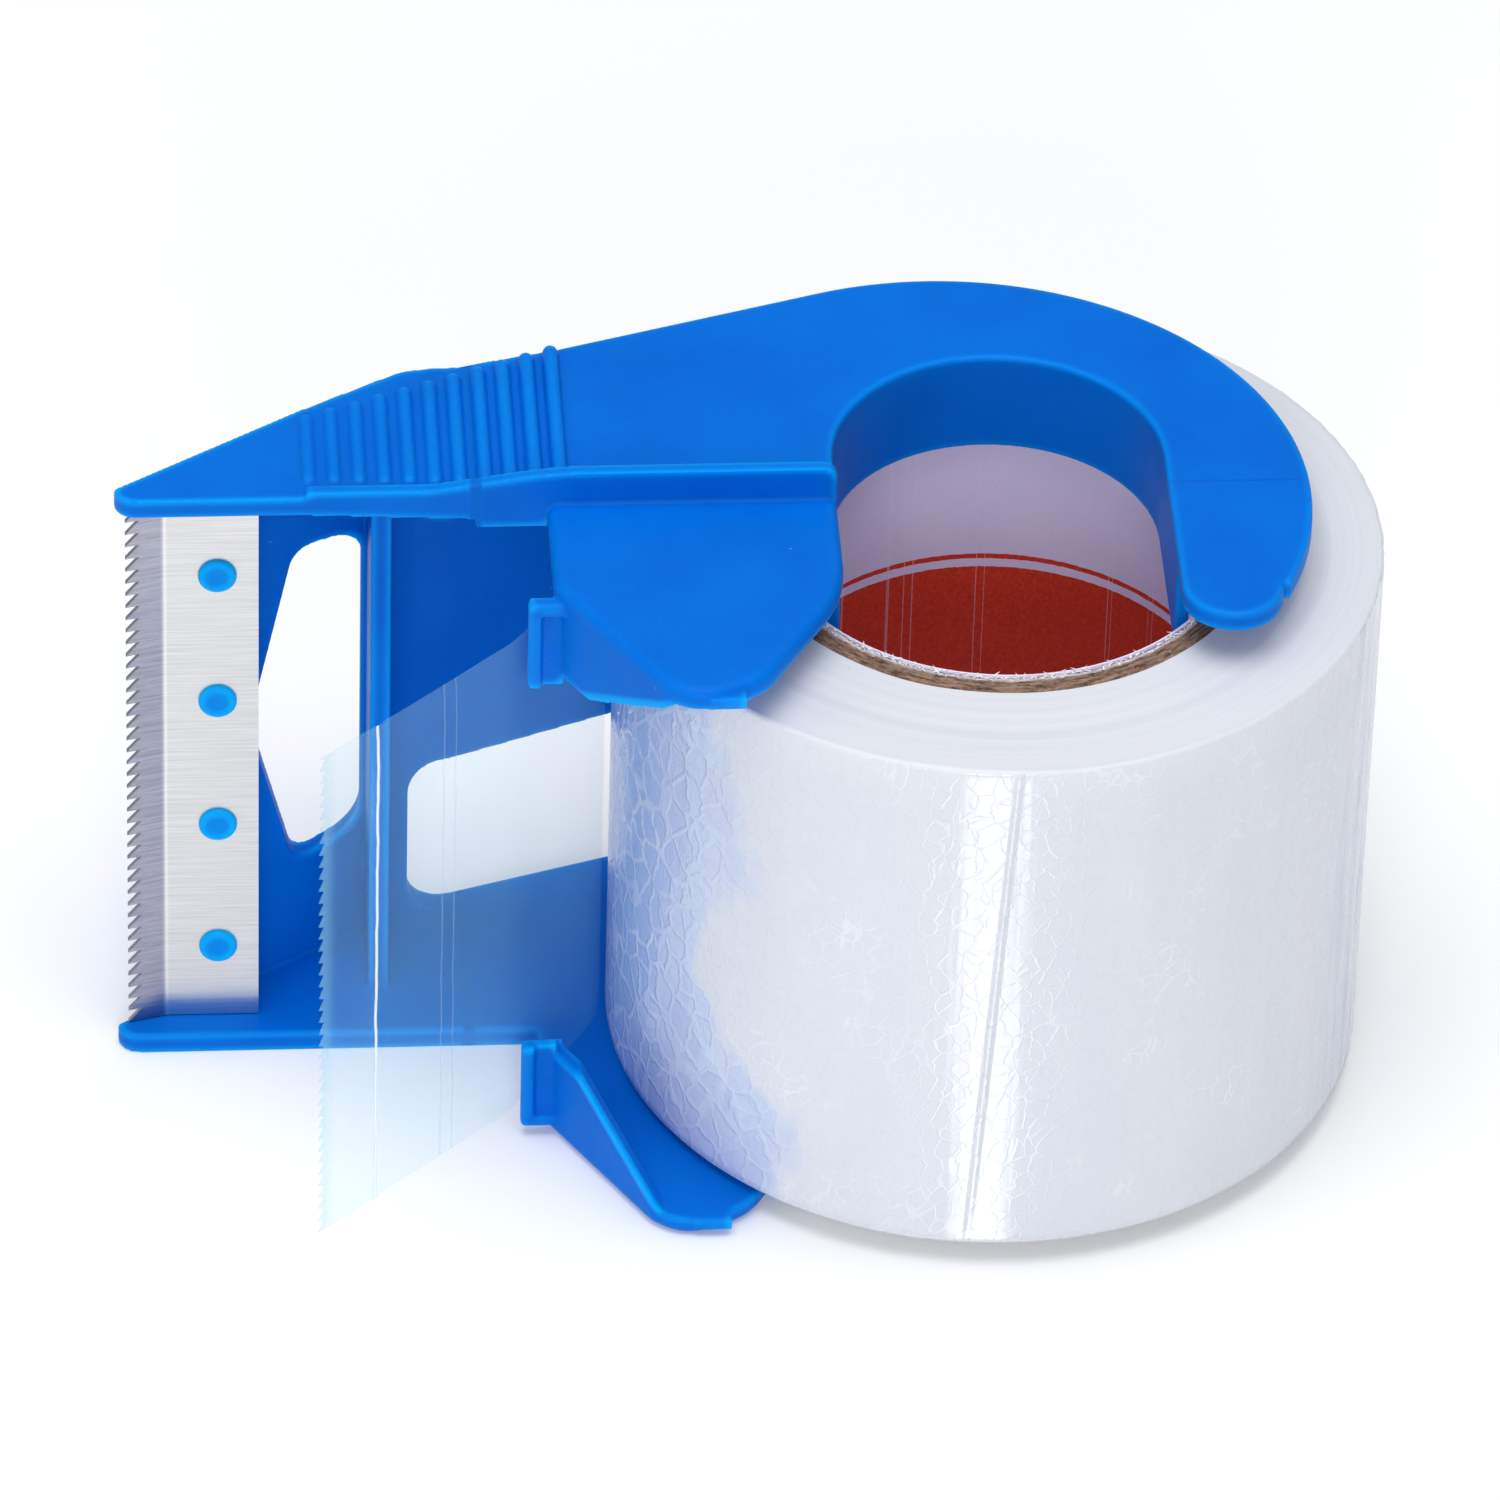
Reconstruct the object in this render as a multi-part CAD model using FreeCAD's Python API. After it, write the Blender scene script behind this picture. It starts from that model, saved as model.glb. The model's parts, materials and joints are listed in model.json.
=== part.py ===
import FreeCAD, Part
import math
import os

# Hand-held parcel tape dispenser with a 50 mm roll, lying on its lower side plate.
# Millimetres. While it is drawn, X = Y = 0 is the roll's axis: -X is the cutting nose, +X the hook,
# -Y the open front and +Z up along the roll's axis, with Z = 0 at the face it lies on.
# Every part is moved along X at the end, so that the origin is the middle of the part's base.

# Tape roll
TAPE_WIDTH = 50.0
CORE_BORE_R = 19.05
CORE_WALL = 2.15
LINER_WALL = 0.15
ROLL_R = 31.85
ROLL_BASE = 2.3

# Moulded body: levels
PLATE = 1.75                # side plate thickness; the lower plate's outer face is at Z = 0
ARM_TOP = 57.4              # outer face of the upper plate beside the roll
NOSE_TOP = 58.4             # outer face of the upper plate at the nose
SLOPE_FROM, SLOPE_TO = -57.0, -37.0
LIP_TOP = 60.5
MIDDLE = 29.0               # middle of the blade, window and spine
WALL_TOP = 56.4             # highest level of the space between the plates
FAR = 90.0                  # longer than anything in the part

# Moulded body: plan
NOSE_X = -73.0
NOSE_Y = 0.2                # where the nose's slanting back starts
FRONT_Y = -1.6
NOSE_CORNER_R = 1.8
SHOULDER = (-49.0, 16.2)    # where the nose's straight back ends
SADDLE = (-46.3, 16.9)      # the shallow dip between them
NECK = (-44.6, 16.95)       # where the arm's straight back starts
HOOK_CENTRE = (-4.2, -1.0)
TIP_R = 4.15
OPENING_HALF = 13.7         # half the width of the opening over the core
ARCH_Y = 3.8                # centre of the opening's round end
TIP_CENTRE = (OPENING_HALF + TIP_R, -13.85)
HOOK_R = math.dist(HOOK_CENTRE, TIP_CENTRE) + TIP_R
FLEX_X = -43.4              # the side arms bend about this line
WALL = 1.6
WALL_SEAM_X = -44.8         # the back wall ends and the spine starts
SPINE_END_X = -27.0
WALL_LEFT_X = -70.3

# Window, spine gaps and the rib inside the back wall
WINDOW_RIGHT = (-52.2, 15.7)        # X and half height of each corner about MIDDLE
WINDOW_SHOULDER = (-57.9, 16.7)
WINDOW_POINT_X = -61.8
SPINE_GAP_X = -48.0
SPINE_UP = (14.6, 12.6)             # the spine's reach above MIDDLE, at the wall and at the end
SPINE_DOWN = (11.4, 9.7)
RIB_WALL_X = (-51.7, -50.0)
RIB_WALL_FRONT = 4.4

# Hubs, tongues and tape guides
HUB_WALL = 1.1
HUB_DEPTH = 9.2             # from the plate's outer face
TONGUE_ROUND = 1.0
PLATE_ROUND = 0.35
FLANGE_DEPTH = 8.6
LUG_X = (-39.6, -36.6)
LUG_BACK_Y = -12.5
LUG_T = 1.4
LUG_DEPTHS = (9.6, 1.1)     # its ends below the plate's outer face
LUG_RIM = 1.1
LUG_WEB = 0.8
EJECTOR_R = 0.9

# Raised border along the front edge
LIP_T = 1.2
LIP_START_X = -57.6
LIP_NOSE = 0.5              # above the nose
STEP_X = -37.5              # the border's foot ends where the tongue starts
STEP_Z = 55.2

# Cutter
BLADE_Y = 1.1
BLADE_T = 0.5
BLADE_HALF = 27.15
BLADE_RIGHT = -61.1
BLADE_BEND_X = -68.9
TOOTH_ROOT_X = -70.9
TOOTH_TIP_X = -72.1
TOOTH_COUNT = 43
BEND_DEG = 15.0
POST_X = -64.5
POST_SPACING = 13.1
POST_STEM_R = 1.35
POST_HEAD_R = 1.6
POST_HEAD_T = 0.42
BAR_LEFT_X = -68.0
BAR_BACK_Y = 3.2

# Grip ribs
RIB_COUNT = 11
RIB_FIRST_X = -57.0
RIB_PITCH = 2.07
RIB_R = 0.65
RIB_FRONT_Y = 0.9
RIB_FIRST_END_Y = 9.2
RIB_END_SLOPE = 0.47        # the far ends follow the back edge
RIB_HEIGHT = 0.42           # of the first rib; each next one is a little higher
RIB_GROWTH = 0.045

# Free end of the tape: plan points with the radius of each bend
LEADER_PATH = [(-32.2, 2.4, 0), (-32.4, -0.6, 8), (-40.6, -13.2, 12), (-57.1, -28.2, 0)]
LEADER_T = 0.2
LEADER_TOOTH = 0.8
LEADER_TEETH = 40

ORIGIN_X = (NOSE_X + ROLL_R) / 2


def vec(x, y, z=0.0):
    return FreeCAD.Vector(x, y, z)


def corner_arc(before, corner, after, radius):
    """Start, middle and end of the arc that rounds one corner of a plan outline."""
    u = (vec(*before) - vec(*corner)).normalize()
    v = (vec(*after) - vec(*corner)).normalize()
    half = u.getAngle(v) / 2
    reach = radius / math.tan(half)
    bisector = (u + v).normalize()
    centre = vec(*corner) + bisector * (radius / math.sin(half))
    return vec(*corner) + u * reach, centre - bisector * radius, vec(*corner) + v * reach


def wire(points, closed=True):
    """A plan wire through (x, y, corner radius) points; the radius may be left out."""
    pts = [(p[0], p[1], p[2] if len(p) > 2 else 0) for p in points]
    edges, count = [], len(pts)
    stops = []
    for i, (x, y, radius) in enumerate(pts):
        if radius and (closed or 0 < i < count - 1):
            before, after = pts[i - 1][:2], pts[(i + 1) % count][:2]
            stops.append(corner_arc(before, (x, y), after, radius))
        else:
            stops.append((vec(x, y), None, vec(x, y)))
    for i, (start, mid, end) in enumerate(stops):
        if mid:
            edges.append(Part.Arc(start, mid, end).toShape())
        if closed or i < count - 1:
            following = stops[(i + 1) % count][0]
            if (following - end).Length > 1e-6:
                edges.append(Part.LineSegment(end, following).toShape())
    return Part.Wire(edges)


def prism(points, low, high):
    """A plan outline raised from low to high."""
    solid = Part.Face(wire(points)).extrude(vec(0, 0, high - low))
    solid.translate(vec(0, 0, low))
    return solid


def side_prism(points, low_y, high_y):
    """An outline in (X, Z) carried along Y."""
    solid = Part.Face(wire(points)).extrude(vec(0, 0, high_y - low_y))
    solid.rotate(vec(0, 0), vec(1, 0), 90)
    solid.translate(vec(0, high_y))
    return solid


def block(x, y, z):
    """A box from three (low, high) pairs."""
    return Part.makeBox(x[1] - x[0], y[1] - y[0], z[1] - z[0], vec(x[0], y[0], z[0]))


def disc(centre, radius, low, high):
    return Part.makeCylinder(radius, high - low, vec(*centre, low))


def ring(outer, inner, low, high):
    return disc((0, 0), outer, low, high).cut(disc((0, 0), inner, low, high))


def mirror_down(shape):
    """The same shape on the lower side: the upper arm's outer face becomes Z = 0."""
    return shape.mirror(vec(0, 0, ARM_TOP / 2), vec(0, 0, 1))


def between(shape, low_x, high_x):
    """The part of a shape between two places along the body."""
    return shape.common(block((low_x, high_x), (-FAR, FAR), (-FAR, FAR)))


def upper_level(x, outer=True):
    """Height of the upper plate's outer or inner face at x."""
    share = min(max((x - SLOPE_FROM) / (SLOPE_TO - SLOPE_FROM), 0), 1)
    return NOSE_TOP + (ARM_TOP - NOSE_TOP) * share - (0 if outer else PLATE)


def upper_profile(outer):
    return [(x, upper_level(x, outer)) for x in (-FAR, SLOPE_FROM, SLOPE_TO, FAR)]


def upper_slab():
    """The sheet that the upper plate is cut from: level at the nose and beside the roll."""
    return side_prism(upper_profile(True) + upper_profile(False)[::-1], -FAR, FAR)


def between_plates():
    """The space between the two side plates."""
    return side_prism(upper_profile(False) + [(FAR, PLATE), (-FAR, PLATE)], -FAR, FAR)


# ---------------------------------------------------------------- side plates

def tangent_point():
    """Where the arm's straight back runs into the hook's round outside."""
    dx, dy = NECK[0] - HOOK_CENTRE[0], NECK[1] - HOOK_CENTRE[1]
    angle = math.atan2(dy, dx) - math.acos(HOOK_R / math.hypot(dx, dy))
    return HOOK_CENTRE[0] + HOOK_R * math.cos(angle), HOOK_CENTRE[1] + HOOK_R * math.sin(angle)


def opening(grow, low, high, bottom=-FAR):
    """The U-shaped opening over the core, made wider by grow, as a cutter."""
    half = OPENING_HALF + grow
    slot = block((-half, half), (bottom, ARCH_Y), (low, high))
    return slot.fuse(disc((0, ARCH_Y), half, low, high))


def side_blank(low, high):
    """Nose, arm and hook in plan, without the tongue."""
    tangent = tangent_point()
    back = prism([(NOSE_X, NOSE_Y), (NOSE_X, FRONT_Y, NOSE_CORNER_R), (-OPENING_HALF, FRONT_Y),
                  (-OPENING_HALF, HOOK_CENTRE[1]), HOOK_CENTRE, tangent, (*NECK, 3), (*SADDLE, 2),
                  (*SHOULDER, 4)], low, high)
    hook = disc(HOOK_CENTRE, HOOK_R, low, high)
    hook = hook.cut(block((-FAR, tangent[0]), (-FAR, FAR), (low, high)))
    hook = hook.cut(block((-FAR, FAR), (-FAR, TIP_CENTRE[1]), (low, high)))
    tip = disc(TIP_CENTRE, TIP_R, low, high)
    return back.fuse([hook, tip]).cut(opening(0, low, high)).removeSplitter()


SLANT = [(STEP_X, -12.4, 3), (-29.3, -25.6, 4), (-26.4, -27.6, 4)]
TONGUE_PLAN = [(STEP_X, FRONT_Y), *SLANT, (-21.0, -25.2, 6), (-OPENING_HALF, -13.0, 14),
               (-OPENING_HALF, FRONT_Y)]


def round_outer_edges(shape, level, radius, wanted):
    """Round the edges of the outer face at this level whose middle passes the test."""
    edges = []
    for edge in shape.Edges:
        middle = edge.valueAt((edge.FirstParameter + edge.LastParameter) / 2)
        flat = all(abs(v.Z - level) < 1e-4 for v in edge.Vertexes) and abs(middle.z - level) < 1e-4
        if flat and wanted(middle):
            edges.append(edge)
    return shape.makeFillet(radius, edges)


def lip(low_x, high_x):
    """The raised border along the front of the upper plate, taller towards the roll."""
    profile = [(LIP_START_X, NOSE_TOP - 1.4), (LIP_START_X + 0.4, NOSE_TOP + LIP_NOSE, 0.3),
               (-47.0, NOSE_TOP + LIP_NOSE, 8), (-38.5, NOSE_TOP + 1.85, 6), (-35.5, LIP_TOP, 8),
               (-OPENING_HALF, LIP_TOP, 1.2), (-OPENING_HALF, WALL_TOP), (-38.0, WALL_TOP)]
    border = side_prism(profile, FRONT_Y, FRONT_Y + LIP_T)
    return between(border, low_x, high_x)


def grip_ribs(low_x, high_x):
    """Half-round ribs across the upper plate between two places along it."""
    ribs = []
    for i in range(RIB_COUNT):
        x = RIB_FIRST_X + i * RIB_PITCH
        if not low_x < x < high_x:
            continue
        z = upper_level(x) + RIB_HEIGHT + RIB_GROWTH * i - RIB_R
        start = vec(x, RIB_FRONT_Y, z)
        end = vec(x, RIB_FIRST_END_Y + RIB_END_SLOPE * (x - RIB_FIRST_X), z)
        rod = Part.makeCylinder(RIB_R, (end - start).Length, start, end - start)
        ribs.append(rod.fuse([Part.makeSphere(RIB_R, start), Part.makeSphere(RIB_R, end)]))
    return ribs


def upper_plate():
    """The whole upper plate behind its front border: the sloping part and the level part."""
    sloping = side_blank(ARM_TOP - 4, NOSE_TOP + 4).common(upper_slab())
    level = side_blank(ARM_TOP - PLATE, ARM_TOP)
    level = round_outer_edges(level, ARM_TOP, PLATE_ROUND, lambda p: p.y > 0 or p.x > 0)
    return between(sloping, -FAR, SLOPE_TO), between(level, SLOPE_TO, FAR)


def nose_plates():
    upper = between(upper_plate()[0], -FAR, FLEX_X)
    upper = upper.fuse([lip(-FAR, FLEX_X)] + grip_ribs(-FAR, FLEX_X)).removeSplitter()
    lower = between(side_blank(0, PLATE), -FAR, FLEX_X)
    return upper, lower


def upper_arm_pieces():
    """Plate beside the roll and the hook past it, for the upper side."""
    sloping, level = upper_plate()
    step = block((FLEX_X, STEP_X), (FRONT_Y, FRONT_Y + LIP_T), (STEP_Z, WALL_TOP))
    extras = [between(level, SLOPE_TO, -OPENING_HALF), lip(FLEX_X, FAR), step]
    arm = between(sloping, FLEX_X, SLOPE_TO).fuse(extras + grip_ribs(FLEX_X, FAR)).removeSplitter()
    return arm, between(level, -OPENING_HALF, FAR)


def lower_arm_pieces():
    """The same pieces for the lower side, whose outer face is flat."""
    plate = round_outer_edges(side_blank(0, PLATE), 0, PLATE_ROUND, lambda p: p.y > 0 or p.x > 0)
    return between(plate, FLEX_X, -OPENING_HALF), between(plate, -OPENING_HALF, FAR)


def tongue():
    """The plate's extension in front of its border, with a rounded outer edge."""
    sheet = prism(TONGUE_PLAN, ARM_TOP - PLATE, ARM_TOP)
    sheet = round_outer_edges(sheet, ARM_TOP, TONGUE_ROUND, lambda p: p.y < FRONT_Y - 0.01)
    foot = block((-25.6, -22.6), (-27.2, -25.6), (ARM_TOP - 1.7, ARM_TOP - 0.7))
    return sheet.fuse(foot).removeSplitter()


def hub():
    """The wall that hangs from the opening's edge into the core."""
    low, high = ARM_TOP - HUB_DEPTH, ARM_TOP - PLATE
    wall = opening(HUB_WALL, low, high).cut(opening(0, low, high))
    wall = wall.cut(block((-FAR, 0), (-FAR, -8.0), (low, high)))
    return wall.cut(block((0, FAR), (-FAR, -10.2), (low, high)))


def tape_guide():
    """The flange under the tongue's slanting edge, with the lug that holds the tape's free end."""
    top, bottom = ARM_TOP - PLATE, ARM_TOP - FLANGE_DEPTH
    plan = [(STEP_X, -11.2), *SLANT, (-25.0, -26.9), (-25.6, -25.6), (-28.3, -24.3, 2),
            (-36.0, -12.0, 1.5), (-36.0, -11.2)]
    taper = [(-34.7, bottom), (-28.3, top), (-20, top), (-20, bottom - 1)]
    flange = prism(plan, bottom, top).cut(side_prism(taper, -FAR, FAR))
    low, high = (ARM_TOP - depth for depth in LUG_DEPTHS)
    face = LUG_BACK_Y - LUG_WEB
    lug = block(LUG_X, (LUG_BACK_Y - LUG_T, LUG_BACK_Y), (low, high))
    rim = [e for e in lug.Edges if abs(e.CenterOfMass.x - LUG_X[0]) < 0.01
           or (abs(e.CenterOfMass.z - high) < 0.01 and e.CenterOfMass.y < face)]
    lug = lug.makeFillet(0.4, rim)
    lug = lug.cut(block((LUG_X[0] + LUG_RIM, 0), (-FAR, face), (low - 1, high - LUG_RIM)))
    at = vec(LUG_X[0] + 2, face - 0.12, ARM_TOP - 7.2)
    mark = Part.makeCylinder(EJECTOR_R, 0.12, at, vec(0, 1))
    dimple = Part.makeCylinder(EJECTOR_R - 0.2, 0.1, at, vec(0, 1))
    lug = lug.fuse(mark.cut(dimple))
    return flange.fuse(lug).removeSplitter().cut(tongue())


# ---------------------------------------------------------------- back wall, spine and cutter bar

def wall_strip():
    """The back wall in plan: it follows the plates' back edge, one wall thickness deep."""
    tangent = tangent_point()
    slope = math.atan2(tangent[1] - NECK[1], tangent[0] - NECK[0])
    nose_slope = math.atan2(SHOULDER[1] - NOSE_Y, SHOULDER[0] - NOSE_X)

    def on_nose(x, depth):
        return NOSE_Y + (x - NOSE_X) * math.tan(nose_slope) - depth / math.cos(nose_slope)

    def on_arm(x, depth):
        return NECK[1] + (x - NECK[0]) * math.tan(slope) - depth / math.cos(slope)

    outer = [(WALL_LEFT_X, on_nose(WALL_LEFT_X, 0)), (*SHOULDER, 4), (*SADDLE, 2), (*NECK, 3),
             (SPINE_END_X, on_arm(SPINE_END_X, 0))]
    inner = [(SPINE_END_X, on_arm(SPINE_END_X, WALL)), (NECK[0], on_arm(NECK[0], WALL), 3),
             (-47.6, on_nose(-47.6, WALL) - 0.6, 3), (-50.0, on_nose(-50.0, WALL), 4),
             (BAR_LEFT_X, BLADE_Y + BLADE_T), (BAR_LEFT_X - 1.2, BLADE_Y + BLADE_T)]
    return outer + inner, on_nose


def window():
    """The six-sided window through the back wall."""
    half = [(*WINDOW_RIGHT, 3), (*WINDOW_SHOULDER, 1.8)]
    points = [(x, MIDDLE + z, r) for x, z, r in half] + [(WINDOW_POINT_X, MIDDLE, 1)]
    points += [(x, MIDDLE - z, r) for x, z, r in half[::-1]]
    return side_prism(points, 2.5, FAR)


def spine_slots():
    """The gaps between the spine and the side plates, which let the arms bend."""
    slots = []
    for sign, reach, limit in ((1, SPINE_UP, WALL_TOP - 0.1), (-1, SPINE_DOWN, PLATE - 0.1)):
        near, far = (MIDDLE + sign * part for part in reach)
        points = [(SPINE_GAP_X, limit, 3), (SPINE_GAP_X, near, 3), (SPINE_GAP_X + 4, near, 8),
                  (-20, far), (-20, limit)]
        slots.append(side_prism(points if sign < 0 else points[::-1], -FAR, FAR))
    return slots


def back_wall_and_spine():
    plan, _ = wall_strip()
    strip = prism(plan, 0, NOSE_TOP).common(between_plates())
    strip = strip.cut([window()] + spine_slots())
    return between(strip, -FAR, WALL_SEAM_X), between(strip, WALL_SEAM_X, FAR)


def wall_rib():
    """The upright rib on the inside of the back wall, beside the window."""
    wall_plan, on_nose = wall_strip()
    left, right = RIB_WALL_X
    plan = [(left, RIB_WALL_FRONT), (right, RIB_WALL_FRONT), (right, on_nose(right, WALL)),
            (left, on_nose(left, WALL))]
    return prism(plan, 0, NOSE_TOP).cut(prism(wall_plan, -1, FAR)).common(between_plates())


def blade_bar():
    """The solid bar behind the blade, filling the wedge in front of the back wall."""
    _, on_nose = wall_strip()
    front, right = BLADE_Y + BLADE_T, BLADE_RIGHT - 0.1
    slope = on_nose(-60, WALL) - on_nose(-61, WALL)
    back_x = BAR_LEFT_X + (BAR_BACK_Y - front) / slope
    plan = [(BAR_LEFT_X, front), (right, front), (right, BAR_BACK_Y), (back_x, BAR_BACK_Y)]
    return prism(plan, 0, NOSE_TOP).common(between_plates())


def post_heights():
    return [MIDDLE + POST_SPACING * (i - 1.5) for i in range(4)]


def blade_posts():
    """Four moulded posts, spread into flat heads that hold the blade."""
    posts = []
    for z in post_heights():
        back = vec(POST_X, BLADE_Y + BLADE_T, z)
        stem = Part.makeCylinder(POST_STEM_R, BLADE_T + 0.1, back, vec(0, -1))
        head = Part.makeCylinder(POST_HEAD_R, POST_HEAD_T, vec(POST_X, BLADE_Y, z), vec(0, -1))
        rim = [e for e in head.Edges if abs(e.CenterOfMass.y - (BLADE_Y - POST_HEAD_T)) < 1e-6]
        head = head.makeFillet(0.3, rim)
        dish = Part.makeSphere(3.0, vec(POST_X + 0.25, BLADE_Y - 3.25, z - 0.2))
        posts.append(stem.fuse(head.cut(dish)).removeSplitter())
    return Part.makeCompound(posts)


def toothed(root_x, tip_x, low, high, count):
    """An (X, Z) outline with saw teeth on its left edge: flat below, slanting above."""
    pitch = (high - low) / count
    points = [(0, low), (0, high)]
    for i in range(count):
        z = high - i * pitch
        points += [(root_x, z), (tip_x, z - pitch)]
    return points


def cutter_blade():
    """Steel strip with its toothed edge bent forward, and four holes for the posts."""
    low, high = MIDDLE - BLADE_HALF, MIDDLE + BLADE_HALF
    rise = math.tan(math.radians(BEND_DEG))
    left = TOOTH_TIP_X - 0.5
    run = BLADE_BEND_X - left
    front, back = BLADE_Y, BLADE_Y + BLADE_T
    plan = [(BLADE_RIGHT, front), (BLADE_RIGHT, back), (BLADE_BEND_X, back, 1.5),
            (left, back - run * rise), (left, front - run * rise), (BLADE_BEND_X, front, 1.0)]
    strip = prism(plan, low, high)
    outline = toothed(TOOTH_ROOT_X, TOOTH_TIP_X, low, high, TOOTH_COUNT)
    strip = strip.common(side_prism(outline, -FAR, FAR))
    for z in post_heights():
        strip = strip.cut(Part.makeCylinder(POST_STEM_R + 0.05, 4, vec(POST_X, -1, z), vec(0, 1)))
    return strip


# ---------------------------------------------------------------- tape

def ribbon(path, thickness):
    """A closed plan outline around a bent path, from its two sides offset by half the thickness."""
    sides = []
    for sign in (1, -1):
        shift = sign * thickness / 2
        side = []
        for i, (x, y, radius) in enumerate(path):
            ahead = path[min(i + 1, len(path) - 1)]
            behind = path[max(i - 1, 0)]
            into = vec(x - behind[0], y - behind[1]) if i else vec(ahead[0] - x, ahead[1] - y)
            out = vec(ahead[0] - x, ahead[1] - y) if i < len(path) - 1 else into
            into_side = vec(-into.y, into.x).normalize()
            out_side = vec(-out.y, out.x).normalize()
            normal = (into_side + out_side).normalize()
            reach = shift / normal.dot(into_side)
            side.append((x + normal.x * reach, y + normal.y * reach, radius))
        sides.append(side)
    return sides[0] + sides[1][::-1]


def tape_leader():
    """The free end of the tape, standing behind the two guides, with the cut edge's teeth."""
    low, high = ROLL_BASE, ROLL_BASE + TAPE_WIDTH
    end_x = LEADER_PATH[-1][0]
    strip = prism(ribbon(LEADER_PATH, LEADER_T), low, high)
    outline = toothed(end_x + LEADER_TOOTH, end_x, low, high, LEADER_TEETH)
    return strip.common(side_prism(outline, -FAR, FAR))


def roll_parts():
    low, high = ROLL_BASE, ROLL_BASE + TAPE_WIDTH
    core_r = CORE_BORE_R + CORE_WALL
    return {"tape_core": ring(core_r, CORE_BORE_R, low, high),
            "core_liner": ring(CORE_BORE_R, CORE_BORE_R - LINER_WALL, low, high),
            "tape_roll": ring(ROLL_R, core_r, low, high)}


def model():
    parts = roll_parts()
    parts["tape_leader"] = tape_leader()
    parts["cutter_blade"] = cutter_blade()
    parts["blade_posts"] = blade_posts()
    parts["blade_bar"] = blade_bar()
    parts["wall_rib"] = wall_rib()
    parts["back_wall"], parts["spine_band"] = back_wall_and_spine()
    parts["upper_nose_plate"], parts["lower_nose_plate"] = nose_plates()
    parts["upper_side_plate"], parts["upper_hook"] = upper_arm_pieces()
    parts["lower_side_plate"], parts["lower_hook"] = lower_arm_pieces()
    shared = {"tongue": tongue(), "hub": hub(), "tape_guide": tape_guide()}
    for name, shape in shared.items():
        parts["upper_" + name] = shape
        parts["lower_" + name] = mirror_down(shape)
    return parts


os.makedirs("parts", exist_ok=True)
for name, shape in model().items():
    shape.translate(vec(-ORIGIN_X, 0, 0))
    shape.exportStep(f"parts/{name}.step")
    print(name, round(shape.Volume, 1), shape.isValid(), len(shape.Solids))
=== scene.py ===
import json
import math
import random

import bmesh
import bpy
from mathutils import Euler, Matrix, Vector, noise

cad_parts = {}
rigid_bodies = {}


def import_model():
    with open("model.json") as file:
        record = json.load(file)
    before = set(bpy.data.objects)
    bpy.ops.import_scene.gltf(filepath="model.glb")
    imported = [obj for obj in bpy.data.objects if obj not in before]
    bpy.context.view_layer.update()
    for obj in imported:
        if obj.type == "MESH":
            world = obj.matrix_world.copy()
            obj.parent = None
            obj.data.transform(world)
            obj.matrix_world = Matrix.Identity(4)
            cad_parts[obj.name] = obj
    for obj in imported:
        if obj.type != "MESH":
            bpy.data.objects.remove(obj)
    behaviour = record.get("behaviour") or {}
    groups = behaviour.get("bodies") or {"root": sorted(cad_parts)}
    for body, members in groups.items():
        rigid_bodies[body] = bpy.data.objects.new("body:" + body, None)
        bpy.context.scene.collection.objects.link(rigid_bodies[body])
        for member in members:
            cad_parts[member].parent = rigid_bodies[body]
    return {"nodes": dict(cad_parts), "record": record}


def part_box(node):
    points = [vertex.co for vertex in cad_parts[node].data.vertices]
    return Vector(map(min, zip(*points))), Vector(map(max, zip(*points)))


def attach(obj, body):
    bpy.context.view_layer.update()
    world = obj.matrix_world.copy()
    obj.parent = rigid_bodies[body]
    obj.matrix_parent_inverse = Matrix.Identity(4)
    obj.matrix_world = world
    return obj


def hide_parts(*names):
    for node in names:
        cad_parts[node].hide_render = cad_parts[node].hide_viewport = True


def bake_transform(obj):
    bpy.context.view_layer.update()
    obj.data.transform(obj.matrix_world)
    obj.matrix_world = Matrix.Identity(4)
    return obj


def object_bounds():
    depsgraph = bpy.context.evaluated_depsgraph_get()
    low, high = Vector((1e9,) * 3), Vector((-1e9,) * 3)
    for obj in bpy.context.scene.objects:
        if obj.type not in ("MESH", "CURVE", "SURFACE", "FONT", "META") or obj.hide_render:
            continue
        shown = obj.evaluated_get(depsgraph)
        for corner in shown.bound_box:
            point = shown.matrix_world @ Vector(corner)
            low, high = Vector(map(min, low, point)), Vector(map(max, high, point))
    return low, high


# A hand-held parcel tape dispenser and its roll, lying on its lower side plate. Everything is in metres.
MM = 0.001

for leftover in list(bpy.data.objects):
    bpy.data.objects.remove(leftover)
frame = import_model()
cad_low, cad_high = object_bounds()
BODIES = frame["record"]["behaviour"]["bodies"]

# Places that come from the frame
ROLL_LOW, ROLL_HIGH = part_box("tape_roll")
AXIS = Vector(((ROLL_LOW.x + ROLL_HIGH.x) / 2, (ROLL_LOW.y + ROLL_HIGH.y) / 2, 0))
ROLL_R = (ROLL_HIGH.x - ROLL_LOW.x) / 2
CORE_R = (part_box("tape_core")[1].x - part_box("tape_core")[0].x) / 2
BORE_R = (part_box("core_liner")[1].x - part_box("core_liner")[0].x) / 2
BOTTOM, TOP = ROLL_LOW.z, ROLL_HIGH.z
# Where the arms start to bend
FLEX_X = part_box("upper_side_plate")[0].x
EDGE_RAYS = 6
# The blade's darker band, partly grinding and partly painted reflection, from the tips of its teeth
TEETH_BAND = 3.2 * MM

# Camera: a long lens, slightly to the left of the front and well above it
AZIMUTH, ELEVATION, ROLL = -4.57, 38.29, 1.72
CAMERA_AT = Vector((-0.0674, -0.8488, 0.7023))
LENS = 312


# ---------------------------------------------------------------- node helpers

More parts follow.
